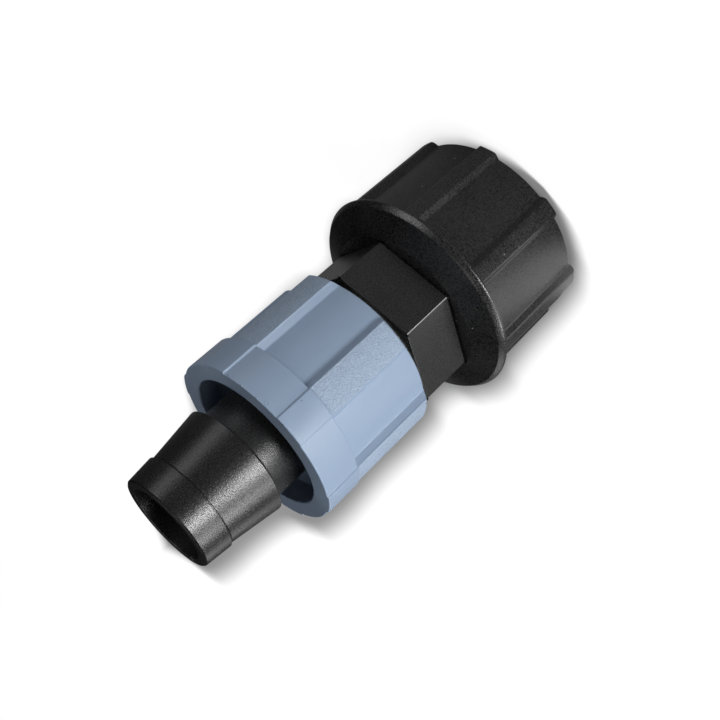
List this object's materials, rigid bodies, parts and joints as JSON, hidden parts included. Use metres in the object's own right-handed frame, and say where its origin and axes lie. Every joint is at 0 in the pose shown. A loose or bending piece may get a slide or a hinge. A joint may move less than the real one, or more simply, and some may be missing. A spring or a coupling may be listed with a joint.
{
  "type": "drip tape connector",
  "caption": "Connector for drip irrigation tape: a tapered tape nozzle with a screw-on lock nut, a hexagon to hold it by, and a ribbed swivel nut with a female pipe thread and a gasket.",
  "frame": {"origin": "on the common axis, at the plane of the swivel nut's open end, which the part stands on", "axes": "+Z along the common axis towards the nozzle tip; the picture's camera looks from the -Y side"},
  "size_m": [0.038, 0.038, 0.0751],
  "materials": {
    "black_plastic": "satin moulded polypropylene, black",
    "blue_grey_plastic": "satin moulded acetal, light blue-grey, lug tops finely eroded",
    "gasket_rubber": "matt black rubber"
  },
  "bodies": {
    "connector": {"connector_body": "black_plastic", "gasket": "gasket_rubber"},
    "lock_nut": {"lock_nut": "blue_grey_plastic"},
    "swivel_nut": {"swivel_nut": "black_plastic"}
  },
  "joints": [
    {"name": "lock_nut_travel", "type": "slide", "parent": "connector", "child": "lock_nut", "axis": [0, 0, 1], "range_m": [0, 0.009]},
    {"name": "swivel_spin", "type": "hinge", "parent": "connector", "child": "swivel_nut", "pos_m": [0, 0, 0.0212], "axis": [0, 0, 1], "continuous": true}
  ]
}
